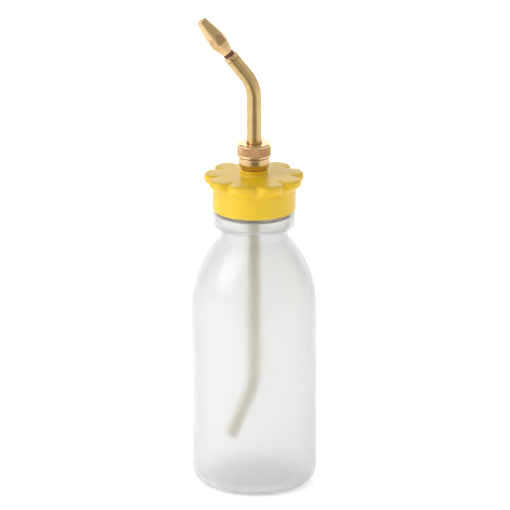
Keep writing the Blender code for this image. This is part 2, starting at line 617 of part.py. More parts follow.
def main():
    for old in list(bpy.data.objects):
        bpy.data.objects.remove(old)
    parts = make_collection("handy_oiler_can")
    cutters = make_collection("cutters")

    polyethylene = material("translucent_polyethylene", (0.86, 0.87, 0.86), 0.38, transmission=0.6)
    yellow = material("yellow_plastic", (0.86, 0.56, 0.03), 0.32)
    brass = material("turned_brass", (0.62, 0.44, 0.19), 0.28, metallic=1.0)
    tube_brass = material("drawn_brass", (0.58, 0.44, 0.21), 0.3, metallic=1.0)
    rubber = material("black_rubber", (0.03, 0.03, 0.03), 0.7)
    fibre = material("red_fibre", (0.35, 0.06, 0.04), 0.8)
    foam = material("white_foam_liner", (0.8, 0.8, 0.78), 0.9)

    build_bottle(parts, cutters, polyethylene)
    build_cap_gasket(parts, foam)
    build_cap(parts, cutters, yellow)
    build_fitting(parts, brass)
    build_lock_washer(parts, fibre)
    build_lock_nut(parts, cutters, brass)
    build_gland_seal(parts, rubber)
    washer("tube_collar", SPOUT_HOLE, GLAND_PIECE_RADIUS, TUBE_COLLAR_BOTTOM, TUBE_COLLAR_HEIGHT,
           RING_SEGMENTS, parts, brass)
    washer("gland_washer", SPOUT_HOLE, GLAND_PIECE_RADIUS, GLAND_WASHER_BOTTOM, GLAND_WASHER_HEIGHT,
           RING_SEGMENTS, parts, brass)
    build_union_nut(parts, brass)
    spout = spout_points()
    bent_tube("spout_tube", spout, SPOUT_RADIUS, SPOUT_WALL, SPOUT_RESOLUTION, parts, tube_brass)
    bent_tube("dip_tube", dip_tube_points(), DIP_RADIUS, DIP_WALL, DIP_RESOLUTION, parts, tube_brass)

    nozzle_axis = bpy.data.objects.new("nozzle_axis", None)
    parts.objects.link(nozzle_axis)
    nozzle_axis.location = spout[-1]
    nozzle_axis.rotation_euler = (0.0, -math.radians(SPOUT_LEAN), 0.0)
    for piece in (build_adapter(parts, brass), build_nozzle_seal(parts, fibre),
                  build_nozzle(parts, cutters, brass)):
        piece.parent = nozzle_axis


main()
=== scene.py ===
"""Looks of the squeeze oiler: fine meshes, materials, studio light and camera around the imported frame.

Metres, +Z up.  The bottle stands on Z = 0 with its axis on Z, and the spout leans towards -X.
"""

import math

import bmesh
import bpy
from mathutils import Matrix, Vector


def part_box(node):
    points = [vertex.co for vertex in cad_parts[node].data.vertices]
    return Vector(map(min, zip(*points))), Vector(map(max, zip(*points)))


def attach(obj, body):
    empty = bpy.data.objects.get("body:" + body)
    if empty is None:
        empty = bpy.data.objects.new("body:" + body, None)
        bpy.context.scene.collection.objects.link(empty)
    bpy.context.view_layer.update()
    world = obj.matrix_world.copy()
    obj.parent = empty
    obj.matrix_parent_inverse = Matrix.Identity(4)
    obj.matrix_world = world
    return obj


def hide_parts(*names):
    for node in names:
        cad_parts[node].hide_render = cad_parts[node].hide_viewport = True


MM = 0.001
SAME = 1e-7                    # metres: two lengths that differ by less are one

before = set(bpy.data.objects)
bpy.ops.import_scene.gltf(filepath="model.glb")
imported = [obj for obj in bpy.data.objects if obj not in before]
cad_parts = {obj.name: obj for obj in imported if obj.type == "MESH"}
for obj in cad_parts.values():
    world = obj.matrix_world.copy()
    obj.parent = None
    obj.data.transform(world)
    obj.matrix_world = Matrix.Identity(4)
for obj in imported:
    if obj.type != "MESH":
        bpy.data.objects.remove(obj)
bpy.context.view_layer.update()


def low(node):
    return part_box(node)[0]


def high(node):
    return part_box(node)[1]


# ---------------------------------------------------------------- sizes read from the frame
BODY_RADIUS = high("bottle").x
RIM = high("bottle").z
SKIRT_BOTTOM = low("screw_cap").z
BOSS_TOP = high("screw_cap").z
LOCK_WASHER_RADIUS = high("fitting_washer").x
COLLAR_RADIUS = high("spout_fitting").x
FITTING_TOP = high("spout_fitting").z
STEM_BOTTOM = low("spout_fitting").z
NUT_RADIUS = high("union_nut").x
NUT_BOTTOM = low("union_nut").z
NUT_TOP = high("union_nut").z
SPOUT_RADIUS = high("spout_tube").x
SPOUT_BOTTOM = low("spout_tube").z

# ---------------------------------------------------------------- sizes repeated from the design
SEAT_GAP = 0.3 * MM            # between two faces that rest on each other
RUNNING_GAP = 0.3 * MM         # radial, between a shaft and its bore
THREAD_GAP = 0.4 * MM          # between the flanks and crests of the bottle's and the cap's threads

BODY_HEIGHT = 88.0 * MM        # base to the start of the shoulder
BOTTLE_WALL = 1.2 * MM
CORNER_RADIUS = 7.2 * MM
STANDING_RING_WIDTH = 4.0 * MM
PUSH_UP = 2.6 * MM             # height of the hollow under the base
SHOULDER_RADIUS = 52.0 * MM
NECK_RADIUS = 16.2 * MM
BEAD_REACH = 3.4 * MM          # bead beyond the neck
BEAD_HEIGHT = 7.0 * MM
BEAD_ROUND = 1.4 * MM
FINISH_HEIGHT = 14.0 * MM      # threaded part, bead to rim

CAP_PITCH = 4.0 * MM
THREAD_HEIGHT = 1.2 * MM
THREAD_ROOT_WIDTH = 2.0 * MM
THREAD_CREST_WIDTH = 0.9 * MM
THREAD_FADE = 0.12             # turns over which each end of a ridge rises from its wall
THREAD_BELOW_RIM = 2.6 * MM    # rim down to the middle of the bottle thread's upper end
THREAD_ABOVE_SKIRT = 3.2 * MM  # skirt's lower edge up to the middle of the bottle thread's lower end

CAP_WALL = 2.0 * MM
CAP_WALL_GAP = 0.6 * MM        # thread crest of the bottle to the inside of the cap
CAP_PANEL = 2.5 * MM
FLANGE_REACH = 4.0 * MM        # lobe crest beyond the skirt
FLANGE_EDGE = 3.0 * MM         # upright edge of the flange
FLANGE_TAPER = 3.2 * MM        # height over which the lobes run into the skirt
FLANGE_SWELL = 1.35            # 1 makes the taper a plain cone, more rounds it into the edge
FLANGE_ROUND = 1.5 * MM
CROWN_FLAT = 15.5 * MM         # the top face is flat out to here, and dips from here into the notches
LOBE_COUNT = 9
LOBE_DEPTH = 3.4 * MM
NOTCH_SINK = 0.6 * MM          # how far the top face dips in a notch
LOBE_PHASE = 13.3              # degrees from +X to the first lobe
LOBE_FULLNESS = 3.0            # power of a lobe's curve: more makes the lobes fuller
NOTCH_SOFTNESS = 0.25          # 0 makes the notches sharp
BOSS_HEIGHT = 2.8 * MM
BOSS_WALL = 1.4 * MM
BOSS_FILLET = 1.6 * MM
GASKET_INNER_GAP = 0.9 * MM    # liner to the lock washer inside it

SPOUT_WALL = 0.5 * MM
SPOUT_RISE = 22.0 * MM         # union nut to the start of the bend
SPOUT_BEND_RADIUS = 19.0 * MM
SPOUT_LEAN = math.radians(38.3)
SPOUT_REACH = 9.55 * MM        # straight length beyond the bend
DIP_RADIUS = 2.75 * MM
DIP_WALL = 0.5 * MM
DIP_OVERLAP = 9.0 * MM         # length of the dip tube inside the spout
DIP_BEND_HEIGHT = 49.2 * MM    # where the two straight runs would meet, above the base
DIP_BEND_RADIUS = 12.0 * MM
DIP_LEAN = math.radians(32.0)
DIP_HEADING = math.radians(223.0)
DIP_REACH = 28.4 * MM          # from where the runs would meet to the tip

COLLAR_FOOT_RADIUS = 6.4 * MM
COLLAR_TAPER = 2.6 * MM
COLLAR_HEIGHT = 3.2 * MM
MALE_THREAD_RADIUS = 6.0 * MM
MALE_THREAD_PITCH = 1.0 * MM
GLAND_RADIUS = 5.0 * MM
GLAND_FLOOR = 164.28 * MM
SPOUT_HOLE = 3.8 * MM
STEM_RADIUS = 5.0 * MM
STEM_HOLE = 5.3 * MM
LOCK_NUT_WALL = 1.7 * MM       # from the stem's hole to the nut's flats
NUT_BORE = 6.3 * MM
NUT_LIP = 1.0 * MM
NUT_CHAMFER = 0.6 * MM

STUB_RADIUS = 1.75 * MM
STUB_BORE = 0.9 * MM
STUB_HOLE = STUB_RADIUS + RUNNING_GAP
STUB_THREAD_PITCH = 0.7 * MM
STUB_LENGTH = 6.5 * MM
ADAPTER_FLANGE_STEP = 0.1 * MM  # flange beyond the spout
ADAPTER_FLANGE = 2.2 * MM
ADAPTER_SPIGOT = 6.0 * MM      # length inside the spout
NOZZLE_SEAL_THICKNESS = 1.0 * MM
NOZZLE_SEAL_WIDTH = 0.65 * MM
NOZZLE_LENGTH = 20.6 * MM
NOZZLE_RADIUS = 4.5 * MM
NOZZLE_TIP_RADIUS = 2.45 * MM
NOZZLE_FLAT_CUT = 0.45 * MM    # depth of the hexagon's flats in the turned radius
NOZZLE_REAR_CONE = 6.0 * MM
NOZZLE_STRAIGHT = 2.6 * MM
NOZZLE_REAR_WALL = 0.55 * MM
NOZZLE_CHAMBER = 2.5 * MM      # bore beyond the end of the stub
NOZZLE_BORE_TAPER = 2.0 * MM
ORIFICE_RADIUS = 0.8 * MM
ORIFICE_MOUTH_RADIUS = 1.3 * MM
ORIFICE_MOUTH_DEPTH = 1.0 * MM

# ---------------------------------------------------------------- detail that only the fine pieces have
# each knee under the base: share of the ring's inner radius, share of the push-up's height, rounding
PUSH_UP_KNEES = ((0.45, 0.95, 4.0 * MM), (0.86, 0.45, 2.0 * MM))
RING_ROUND = 0.6 * MM          # inner edge of the standing ring
NECK_EASE = 1.2 * MM           # round from the shoulder into the neck, and from the neck into the bead
BEAD_ROUND_LEAST = 0.3 * MM    # the round left inside the hollow bead
BEAD_TOP_FILLET = 0.5 * MM
RIM_ROUND = 0.5 * MM

SKIRT_ROUND = 0.35 * MM
BORE_ROUND = 0.2 * MM          # edges of the cap's hole for the stem
PANEL_FILLET = 0.5 * MM
THREAD_LOW_MARGIN = 0.5 * MM   # plain ends of the cap's bore, below and above its thread
THREAD_HIGH_MARGIN = 0.6 * MM

EDGE_KEEN = 0.05 * MM          # inside corner left by a turning tool
EDGE_CRISP = 0.1 * MM
EDGE_THIN = 0.12 * MM          # rings, the ends of tubes and the union nut's chamfer
EDGE_BROKEN = 0.15 * MM
EDGE_EASED = 0.2 * MM
EDGE_SOFT = 0.3 * MM
EDGE_ROUND = 0.35 * MM
COLLAR_ROUND = 0.5 * MM
STUB_END_ROUND = 0.25 * MM
TIP_ROUND = 0.9 * MM
TIP_EASE = 0.15 * MM           # keeps the rounder rim of the tip within the CAD's height

CUT_FADE = 0.6                 # pitches over which a cut thread runs out
CUT_STEEPNESS = 1.3            # more leaves wider flats on a cut thread's crest and root
MALE_THREAD_DEPTH = 0.5 * MM
NUT_THREAD_DEPTH = 0.2 * MM
STUB_THREAD_DEPTH = 0.35 * MM
THREAD_RELIEF = 0.2 * MM       # plain length between a cut thread and the shoulder beside it
STUB_RELIEF = 0.1 * MM
THREAD_OVERRUN = 0.3 * MM      # how far past the end of its stud a thread's fade ends
NUT_THREAD_LEAD = 0.3 * MM     # plain mouth of the union nut
NUT_FOOT = 0.9 * MM            # plain band under the knurl
NUT_SHOULDER = 0.35 * MM       # plain band between the knurl and the chamfer
KNURL_DEPTH = 0.42 * MM
KNURL_SHARPNESS = 1.6          # more makes the diamonds flatter and their grooves narrower
KNURL_FADE = 0.35 * MM
BAR_SKIN = 0.45                # groove tint on the nozzle's flats, where the drawn bar's skin is left
FLAT_MARGIN = 0.02 * MM        # depth at which a flat counts as one
NOZZLE_PLAIN_REAR = 1.0 * MM   # rear end that no flat reaches

# ---------------------------------------------------------------- facets
BOTTLE_SEGMENTS = 192          # round a full turn, as the next six are
CAP_SEGMENTS = 32 * LOBE_COUNT
BRASS_SEGMENTS = 96
LOCK_NUT_SEGMENTS = 180
NOZZLE_SEGMENTS = 240
NUT_TEETH = 36
NUT_SEGMENTS = NUT_TEETH * 12
CORNER_STEPS = 20
SHOULDER_STEPS = 40
SWELL_STEPS = 14               # up the underside of the cap's flange
SEAL_SIDES = 24                # round the O-ring's section
BASE_FACET = 1.2 * MM          # longest step along an outline, as the next eleven are
BODY_FACET = 3.0 * MM
NECK_THREAD_FACET = 0.22 * MM
SKIRT_FACET = 1.2 * MM
CAP_FACET = 1.0 * MM
CAP_THREAD_FACET = 0.25 * MM
LOCK_NUT_FACET = 0.4 * MM
BRASS_FACET = 0.8 * MM
FITTING_THREAD_FACET = 0.1 * MM
KNURL_FACET = 0.12 * MM
STUB_THREAD_FACET = 0.08 * MM
NOZZLE_FACET = 0.12 * MM
SMOOTH_OPENING = math.radians(172)  # a corner that opens wider isn't rounded
ROUND_SHARE = 0.45             # how much of a side one corner's rounding may take


# ---------------------------------------------------------------- mesh tools
def clamped(value):
    """The value kept between 0 and 1."""
    return min(1.0, max(0.0, value))


def zigzag(turns):
    """1 at each whole turn, falling evenly to 0 at the half turns between."""
    return abs((turns % 1.0) * 2 - 1)


def hexagon(angle, flat):
    """Radius of a hexagon at an angle, where flat is half its width over the flats."""
    sixth = math.radians(60)
    return flat / math.cos((angle + sixth / 2) % sixth - sixth / 2)


def arc(centre, radius, start, end, steps):
    """Points on a circle in the radius-height plane, from start to end degrees, both included."""
    angles = [math.radians(start + (end - start) * i / steps) for i in range(steps + 1)]
    return [(centre[0] + radius * math.cos(a), centre[1] + radius * math.sin(a)) for a in angles]


def rounded(outline, radius, steps=4, closed=True):
    """The outline with its corners rounded, each as far as its two sides allow.

    A point is (radius, height) or (radius, height, rounding of that corner).
    """
    points = [Vector(p[:2]) for p in outline]
    sizes = [p[2] if len(p) > 2 else radius for p in outline]
    made = []
    for i, here in enumerate(points):
        if not closed and i in (0, len(points) - 1):
            made.append(tuple(here))
            continue
        back = points[i - 1] - here
        ahead = points[(i + 1) % len(points)] - here
        opening = back.angle(ahead)
        if sizes[i] <= 0.0 or opening > SMOOTH_OPENING:
            made.append(tuple(here))
            continue
        reach = min(sizes[i] / math.tan(opening / 2), ROUND_SHARE * back.length, ROUND_SHARE * ahead.length)
        start = here + back.normalized() * reach
        end = here + ahead.normalized() * reach
        for k in range(steps + 1):
            s = k / steps
            made.append(tuple(start * (1 - s) ** 2 + here * (2 * s * (1 - s)) + end * s ** 2))
    return made


def filled(outline, spacing, between=None):
    """The outline with extra points along its long sides, or only along those between two heights."""
    made = []
    for here, there in zip(outline, outline[1:]):
        made.append(here)
        inside = between is None or all(between[0] - SAME <= point[1] <= between[1] + SAME
                                        for point in (here, there))
        count = math.ceil(math.dist(here, there) / spacing) if inside else 1
        for k in range(1, count):
            s = k / count
            made.append((here[0] + (there[0] - here[0]) * s, here[1] + (there[1] - here[1]) * s))
    made.append(outline[-1])
    return made


def upright(height):
    """The straight spine: the Z axis."""
    return Vector((0.0, 0.0, height)), Vector((1.0, 0.0, 0.0)), Vector((0.0, 1.0, 0.0))


def spun(name, outline, segments, spine=upright, shape=None, closed=True):
    """Turn an outline of (radius, distance along the spine) points round a spine.

    shape(angle, radius, height) gives a point's own radius, how far it sinks back along the spine and
    its groove depth from 0 to 1.  Two attributes go with the mesh for its materials: flow, the place
    round a straightened spine, and groove.
    """
    work = bmesh.new()
    flow = []
    groove = []
    loops = []
    for radius, height in outline:
        centre, side, other = spine(height)
        if radius < SAME:
            loops.append([work.verts.new(centre)])
            flow.append((0.0, 0.0, height))
            groove.append(0.0)
            continue
        loop = []
        for k in range(segments):
            angle = math.tau * k / segments
            reach, sink, depth = shape(angle, radius, height) if shape else (radius, 0.0, 0.0)
            across, beside = reach * math.cos(angle), reach * math.sin(angle)
            loop.append(work.verts.new(centre + side * across + other * beside - side.cross(other) * sink))
            flow.append((across, beside, height - sink))
            groove.append(depth)
        loops.append(loop)
    pairs = list(zip(loops, loops[1:]))
    if closed:
        pairs.append((loops[-1], loops[0]))
    for here, there in pairs:
        for k in range(segments):
            after = (k + 1) % segments
            corners = [here[k % len(here)], here[after % len(here)], there[after % len(there)],
                       there[k % len(there)]]
            work.faces.new(list(dict.fromkeys(corners)))
    bmesh.ops.recalc_face_normals(work, faces=work.faces)
    mesh = bpy.data.meshes.new(name)
    work.to_mesh(mesh)
    work.free()
    mesh.attributes.new("flow", "FLOAT_VECTOR", "POINT").data.foreach_set(
        "vector", [value for place in flow for value in place])
    mesh.attributes.new("groove", "FLOAT", "POINT").data.foreach_set("value", groove)
    mesh.shade_smooth()
    made = bpy.data.objects.new(name, mesh)
    bpy.context.scene.collection.objects.link(made)
    return made


def weighted(piece):
    """Large faces keep their own normals, so that the rounded edges between them stay narrow."""
    normals = piece.modifiers.new("weighted_normals", "WEIGHTED_NORMAL")
    normals.keep_sharp = True
    return piece


def show(piece, body, slot, finish, *nodes):
    """Give a piece its material and its body, and hide the CAD nodes that it stands for. The slot is not
    used.
    """
    piece.data.materials.clear()
    piece.data.materials.append(finish)
    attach(piece, body)
    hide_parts(*nodes)
    return piece


def bent_spine(straight, radius, lean, start, down, heading):
    """A spine that runs straight, bends over by lean towards a heading and runs straight again.

    It starts on the Z axis at the height start and runs up, or down where down is True.
    """
    rise = -1.0 if down else 1.0
    outwards = Vector((math.cos(heading), math.sin(heading), 0.0))
    across = Vector((-math.sin(heading), math.cos(heading), 0.0)) * rise

    def spine(distance):
        angle = min(max((distance - straight) / radius, 0.0), lean)
        climb = min(distance, straight) + radius * math.sin(angle)
        reach = radius * (1 - math.cos(angle))
        beyond = max(distance - straight - radius * lean, 0.0)
        climb += beyond * math.cos(lean)
        reach += beyond * math.sin(lean)
        centre = outwards * reach + Vector((0.0, 0.0, start + rise * climb))
        side = outwards * math.cos(angle) - Vector((0.0, 0.0, rise * math.sin(angle)))
        return centre, side, across

    return spine


def thread_on(pitch, depth, start, end):
    """A shape for a fine right-hand thread cut into the crest radius between two heights."""
    def shape(angle, radius, height):
        fade = clamped(min(height - start, end - height) / (pitch * CUT_FADE))
        wave = zigzag(height / pitch - angle / math.tau)
        cut = clamped(wave * CUT_STEEPNESS - (CUT_STEEPNESS - 1) / 2) * fade
        return radius - depth * cut, 0.0, cut

    return shape


# ---------------------------------------------------------------- materials
class Finish:
    """One Principled material, with short calls for the nodes that drive it."""

    def __init__(self, name, roughness, metallic=0.0):
        self.material = bpy.data.materials.new(name)
        self.material.use_nodes = True
        self.tree = self.material.node_tree
        self.shader = self.tree.nodes["Principled BSDF"]
        self.shader.inputs["Roughness"].default_value = roughness
        self.shader.inputs["Metallic"].default_value = metallic
        self.flow = self.attribute("flow", "Vector")
        self.groove = self.attribute("groove", "Fac")

    def attribute(self, name, output):
        node = self.tree.nodes.new("ShaderNodeAttribute")
        node.attribute_name = name
        return node.outputs[output]

    def feed(self, socket, value):
        if isinstance(value, bpy.types.NodeSocket):
            self.tree.links.new(value, socket)
        else:
            socket.default_value = value

    def stretched(self, scale, vector=None):
        """The flow place scaled by its own factor along each axis."""
        node = self.tree.nodes.new("ShaderNodeVectorMath")
        node.operation = "MULTIPLY"
        self.feed(node.inputs[0], vector or self.flow)
        node.inputs[1].default_value = scale
        return node.outputs["Vector"]

    def noise(self, scale, detail=3.0, rough=0.55, vector=None):
        node = self.tree.nodes.new("ShaderNodeTexNoise")
        self.feed(node.inputs["Vector"], vector or self.flow)
        node.inputs["Scale"].default_value = scale
        node.inputs["Detail"].default_value = detail
        node.inputs["Roughness"].default_value = rough
        return node.outputs["Fac"]

    def ranged(self, value, start, end, low_value, high_value):
        """Map start..end of a value to low..high, clamped."""
        node = self.tree.nodes.new("ShaderNodeMapRange")
        self.feed(node.inputs["Value"], value)
        limits = {"From Min": start, "From Max": end, "To Min": low_value, "To Max": high_value}
        for name, number in limits.items():
            node.inputs[name].default_value = number
        return node.outputs["Result"]

    def math(self, operation, a, b):
        node = self.tree.nodes.new("ShaderNodeMath")
        node.operation = operation
        self.feed(node.inputs[0], a)
        self.feed(node.inputs[1], b)
        return node.outputs["Value"]

    def mixed(self, factor, a, b):
        """One colour turning into another as the factor goes from 0 to 1."""
        node = self.tree.nodes.new("ShaderNodeMix")
        node.data_type = "RGBA"
        self.feed(node.inputs["Factor"], factor)
        colours = [socket for socket in node.inputs if socket.type == "RGBA"]
        for socket, colour in zip(colours, (a, b)):
            self.feed(socket, colour if isinstance(colour, bpy.types.NodeSocket) else (*colour, 1.0))
        return [socket for socket in node.outputs if socket.type == "RGBA"][0]

    def bump(self, height, distance, normal=None):
        node = self.tree.nodes.new("ShaderNodeBump")
        node.inputs["Distance"].default_value = distance
        self.feed(node.inputs["Height"], height)
        if normal:
            self.feed(node.inputs["Normal"], normal)
        return node.outputs["Normal"]

    def set(self, name, value):
        self.feed(self.shader.inputs[name], value)


def polyethylene():
    """Frosted natural polyethylene: cloudy, faintly streaked where the parison stretched."""
    f = Finish("polyethylene", 0.3)
    greyish, clear = (0.95, 0.955, 0.95), (0.98, 0.98, 0.975)
    cloud = f.noise(45.0, detail=4.0)
    f.set("Base Color", f.mixed(cloud, greyish, clear))
    streak = f.noise(1.0, detail=2.0, vector=f.stretched((320.0, 320.0, 22.0)))
    f.set("Roughness", f.ranged(f.math("ADD", cloud, streak), 0.7, 1.3, 0.2, 0.27))
    peel = f.bump(f.noise(700.0, detail=2.0), 0.02 * MM)
    f.set("Normal", f.bump(streak, 0.06 * MM, peel))
    f.set("Transmission Weight", 0.78)
    f.set("IOR", 1.5)
    return f.material


def yellow_plastic():
    """Moulded cap: even colour, fine spark-eroded grain and a few dull handling marks."""
    f = Finish("yellow_plastic", 0.35)
    deep, light = (0.74, 0.475, 0.006), (0.78, 0.515, 0.01)
    cloud = f.noise(70.0, detail=3.0)
    f.set("Base Color", f.mixed(f.ranged(cloud, 0.35, 0.65, 0.0, 1.0), deep, light))
    marks = f.noise(260.0, detail=6.0, rough=0.7)
    f.set("Roughness", f.ranged(marks, 0.4, 0.7, 0.3, 0.46))
    grain = f.bump(f.noise(2600.0, detail=2.0), 0.012 * MM)
    f.set("Normal", f.bump(cloud, 0.08 * MM, grain))
    return f.material


def brass(name, rings, streaks, roughness, colour=(0.7, 0.5, 0.25)):
    """Brass with turning rings across the spine, drawing streaks along it, or both."""
    f = Finish(name, roughness, metallic=1.0)
    ring = f.noise(1.0, detail=2.0, vector=f.stretched((30.0, 30.0, 5200.0)))
    streak = f.noise(1.0, detail=3.0, vector=f.stretched((2600.0, 2600.0, 60.0)))
    tarnish = f.noise(240.0, detail=5.0, rough=0.65)
    tarnished = tuple(c * 0.78 for c in colour)
    groove_brown = (0.34, 0.15, 0.06)
    shade = f.mixed(f.ranged(tarnish, 0.42, 0.68, 0.0, 0.6), colour, tarnished)
    # darker brown mixed in by the groove depth: in thread roots, in knurl grooves and on the nozzle's flats
    f.set("Base Color", f.mixed(f.ranged(f.groove, 0.0, 1.0, 0.0, 0.8), shade, groove_brown))
    texture = f.math("ADD", f.math("MULTIPLY", ring, rings), f.math("MULTIPLY", streak, streaks))
    worn = f.math("ADD", texture, f.ranged(tarnish, 0.4, 0.7, 0.0, 0.35))
    f.set("Roughness", f.ranged(worn, 0.0, 1.5, roughness - 0.06, roughness + 0.12))
    f.set("Normal", f.bump(texture, 0.005 * MM))
    return f.material


def rubber():
    """Nitrile rubber of the O-ring."""
    f = Finish("black_rubber", 0.6)
    speck = f.noise(1800.0, detail=3.0)
    f.set("Base Color", f.mixed(speck, (0.018, 0.018, 0.018), (0.04, 0.04, 0.042)))
    f.set("Roughness", f.ranged(speck, 0.3, 0.7, 0.5, 0.75))
    f.set("Normal", f.bump(speck, 0.02 * MM))
    return f.material


def red_fibre():
    """Vulcanised fibre, in layers across the spine."""
    f = Finish("red_fibre", 0.75)
    layers = f.noise(1.0, detail=3.0, vector=f.stretched((700.0, 700.0, 5000.0)))
    f.set("Base Color", f.mixed(layers, (0.13, 0.03, 0.022), (0.24, 0.06, 0.04)))
    f.set("Roughness", f.ranged(layers, 0.3, 0.7, 0.65, 0.85))
    f.set("Normal", f.bump(layers, 0.03 * MM))
    return f.material


def white_foam():
    """Foamed polyethylene of the cap's liner."""
    f = Finish("white_foam", 0.85)
    cells = f.noise(2400.0, detail=2.0)
    f.set("Base Color", f.mixed(cells, (0.78, 0.78, 0.76), (0.9, 0.9, 0.88)))
    f.set("Roughness", f.ranged(cells, 0.3, 0.7, 0.75, 0.95))
    f.set("Normal", f.bump(cells, 0.06 * MM))
    return f.material


# ---------------------------------------------------------------- bottle
BEAD_RADIUS = NECK_RADIUS + BEAD_REACH
BEAD_TOP = RIM - FINISH_HEIGHT
BEAD_BOTTOM = BEAD_TOP - BEAD_HEIGHT
THREAD_START = SKIRT_BOTTOM + THREAD_ABOVE_SKIRT
THREAD_TURNS = (RIM - THREAD_BELOW_RIM - THREAD_START) / CAP_PITCH


def ridge_height(angle, height, start):
    """How far the cap thread's ridge stands at a place, from 0 to 1, with soft edges."""
    tallest = 0.0
    for lap in range(math.ceil(THREAD_TURNS)):
        turn = angle / math.tau + lap
        if turn > THREAD_TURNS:
            break
        away = abs(height - start - CAP_PITCH * turn)
        slope = (THREAD_ROOT_WIDTH / 2 - away) / ((THREAD_ROOT_WIDTH - THREAD_CREST_WIDTH) / 2)
        fade = min(1.0, turn / THREAD_FADE, (THREAD_TURNS - turn) / THREAD_FADE)
        share = clamped(slope) * fade
        tallest = max(tallest, share * share * (3 - 2 * share))
    return tallest


def bottle_side(inset):
    """The bottle's surface moved inwards by inset, from the axis under the base up to the rim."""
    corner = (BODY_RADIUS - CORNER_RADIUS, CORNER_RADIUS)
    ring_inner = corner[0] - STANDING_RING_WIDTH
    centre = BODY_RADIUS - SHOULDER_RADIUS
    lean = math.degrees(math.acos((NECK_RADIUS - inset - centre) / (SHOULDER_RADIUS - inset)))
    neck = NECK_RADIUS - inset
    soft = max(BEAD_ROUND - inset, BEAD_ROUND_LEAST)
    ease = NECK_EASE + inset
    before_corner = corner[0] - 0.01 * MM      # just short of the arc, so that no two points meet
    base = [(0.0, PUSH_UP + inset)]
    base += [(ring_inner * out, PUSH_UP * up + inset, knee_round) for out, up, knee_round in PUSH_UP_KNEES]
    base += [(ring_inner, inset, RING_ROUND), (before_corner, inset, 0.0)]
    points = filled(rounded(base, 0.0, steps=6, closed=False), BASE_FACET)
    points += arc(corner, CORNER_RADIUS - inset, -90, 0, CORNER_STEPS)
    points = points[:-1] + filled([points[-1], (BODY_RADIUS - inset, BODY_HEIGHT)], BODY_FACET)[:-1]
    shoulder = arc((centre, BODY_HEIGHT), SHOULDER_RADIUS - inset, 0, lean, SHOULDER_STEPS)
    points += shoulder[:-1]
    above = [shoulder[-2], (*shoulder[-1], ease), (neck, BEAD_BOTTOM + inset, ease),
             (BEAD_RADIUS - inset, BEAD_BOTTOM + inset, soft), (BEAD_RADIUS - inset, BEAD_TOP - inset, soft),
             (neck, BEAD_TOP - inset, BEAD_TOP_FILLET), (neck, RIM)]
    points += rounded(above, soft, steps=7, closed=False)[1:]
    return points


def build_bottle(finish):
    """Blown bottle with an even wall, a hollow bead, a rounded rim and the outside thread."""
    outside = bottle_side(0.0)
    inside = bottle_side(BOTTLE_WALL)
    rim = [outside[-2], (NECK_RADIUS, RIM, RIM_ROUND), (NECK_RADIUS - BOTTLE_WALL, RIM, RIM_ROUND),
           inside[-2]]
    lip = rounded(rim, RIM_ROUND, steps=4, closed=False)
    outline = outside[:-1] + lip[1:-1] + inside[::-1][1:]
    outline = filled(outline, NECK_THREAD_FACET, between=(BEAD_TOP, RIM))

    def shape(angle, radius, height):
        is_outside = radius > NECK_RADIUS - BOTTLE_WALL / 2
        if is_outside and BEAD_TOP <= height <= RIM - RIM_ROUND:
            return radius + THREAD_HEIGHT * ridge_height(angle, height, THREAD_START), 0.0, 0.0
        return radius, 0.0, 0.0

    bottle = spun("bottle_shell", outline, BOTTLE_SEGMENTS, shape=shape, closed=False)
    return show(bottle, "bottle", "translucent_polyethylene", finish, "bottle")


# ---------------------------------------------------------------- cap
BOSS_RADIUS = STEM_HOLE + BOSS_WALL
CAP_BORE = NECK_RADIUS + THREAD_HEIGHT + CAP_WALL_GAP
SKIRT_RADIUS = CAP_BORE + CAP_WALL
CREST_RADIUS = SKIRT_RADIUS + FLANGE_REACH
CROWN = BOSS_TOP - BOSS_HEIGHT
PANEL_UNDERSIDE = CROWN - CAP_PANEL
EDGE_BOTTOM = CROWN - FLANGE_EDGE
TAPER_BOTTOM = EDGE_BOTTOM - FLANGE_TAPER


def lobe_notch(angle):
    """0 on the crest of a lobe and 1 in the middle of a notch."""
    turns = LOBE_COUNT * (angle - math.radians(LOBE_PHASE)) / math.tau
    beside = zigzag(turns + 0.5)
    standing = math.hypot(1 - beside ** LOBE_FULLNESS, NOTCH_SOFTNESS) - NOTCH_SOFTNESS
    return 1 - standing / (math.hypot(1, NOTCH_SOFTNESS) - NOTCH_SOFTNESS)


def cap_outline():
    """The cap's section through the crest of a lobe."""
    to_go = [1 - step / SWELL_STEPS for step in range(SWELL_STEPS + 1)]
    swell = [(SKIRT_RADIUS + FLANGE_REACH * (1 - share ** FLANGE_SWELL), EDGE_BOTTOM - FLANGE_TAPER * share)
             for share in to_go]
    foot = [(CAP_BORE, SKIRT_BOTTOM), (SKIRT_RADIUS, SKIRT_BOTTOM), (SKIRT_RADIUS, TAPER_BOTTOM, 0.0)]
    skirt = rounded(foot, SKIRT_ROUND, closed=False)[1:-1]
    outline = filled(skirt + swell[:1], SKIRT_FACET)[:-1] + swell
    outline += rounded([swell[-1], (CREST_RADIUS, CROWN, FLANGE_ROUND), (BOSS_RADIUS, CROWN, BOSS_FILLET),
                        (BOSS_RADIUS, BOSS_TOP, SKIRT_ROUND), (STEM_HOLE, BOSS_TOP, BORE_ROUND),
                        (STEM_HOLE, PANEL_UNDERSIDE, BORE_ROUND), (CAP_BORE, PANEL_UNDERSIDE, PANEL_FILLET),
                        (CAP_BORE, SKIRT_BOTTOM, SKIRT_ROUND), (SKIRT_RADIUS, SKIRT_BOTTOM)],
                       FLANGE_ROUND, steps=6, closed=False)[1:-1]
    outline = filled(outline, CAP_FACET)
    return filled(outline, CAP_THREAD_FACET, between=(SKIRT_BOTTOM, PANEL_UNDERSIDE))


